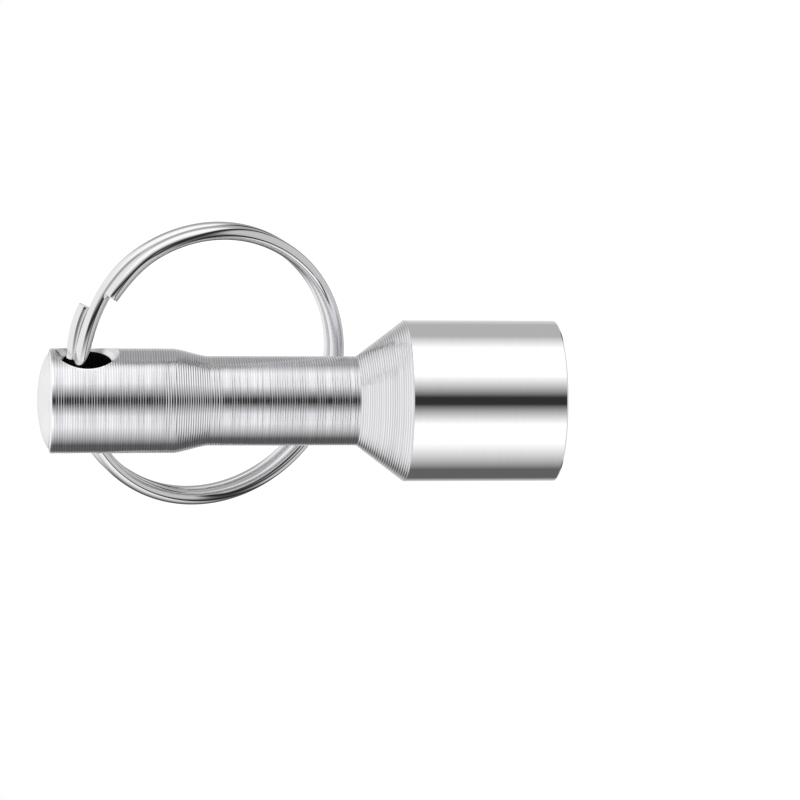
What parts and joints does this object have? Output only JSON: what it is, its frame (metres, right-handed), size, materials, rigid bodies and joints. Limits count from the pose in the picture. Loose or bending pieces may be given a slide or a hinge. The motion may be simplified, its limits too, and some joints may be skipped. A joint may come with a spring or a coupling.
{
  "type": "security tag detacher",
  "caption": "Pocket magnetic detacher for retail security tags: turned metal stem, polished magnet head, domed end and a split key ring through a cross-hole.",
  "frame": {"origin": "centre of the magnet's flat working face, which the object stands on", "axes": "+Z along the stem from the magnet face to the domed end; X along the cross-hole, which is the ring's hinge axis; the ring hangs on the +Y side"},
  "size_m": [0.0506, 0.0313, 0.0896],
  "materials": {
    "turned_body": "fine turned rings",
    "polished_sleeve": "mirror polished",
    "magnet_plating": "satin nickel plating",
    "flux_steel": "plain machined steel",
    "sealing_resin": "cured black resin",
    "smooth_cap": "smooth satin",
    "ring_wire": "bright nickel plating"
  },
  "bodies": {
    "detacher": {"stem": "turned_body", "head_sleeve": "polished_sleeve", "magnet_front": "magnet_plating", "magnet_rear": "magnet_plating", "back_plate": "flux_steel", "potting_ring": "sealing_resin", "end_cap": "smooth_cap"},
    "ring": {"split_ring": "ring_wire"}
  },
  "joints": [
    {"name": "ring_swing", "type": "hinge", "parent": "detacher", "child": "ring", "pos_m": [0, 0, 0.08125], "axis": [1, 0, 0], "range_deg": [-4.5, 328.5]}
  ]
}
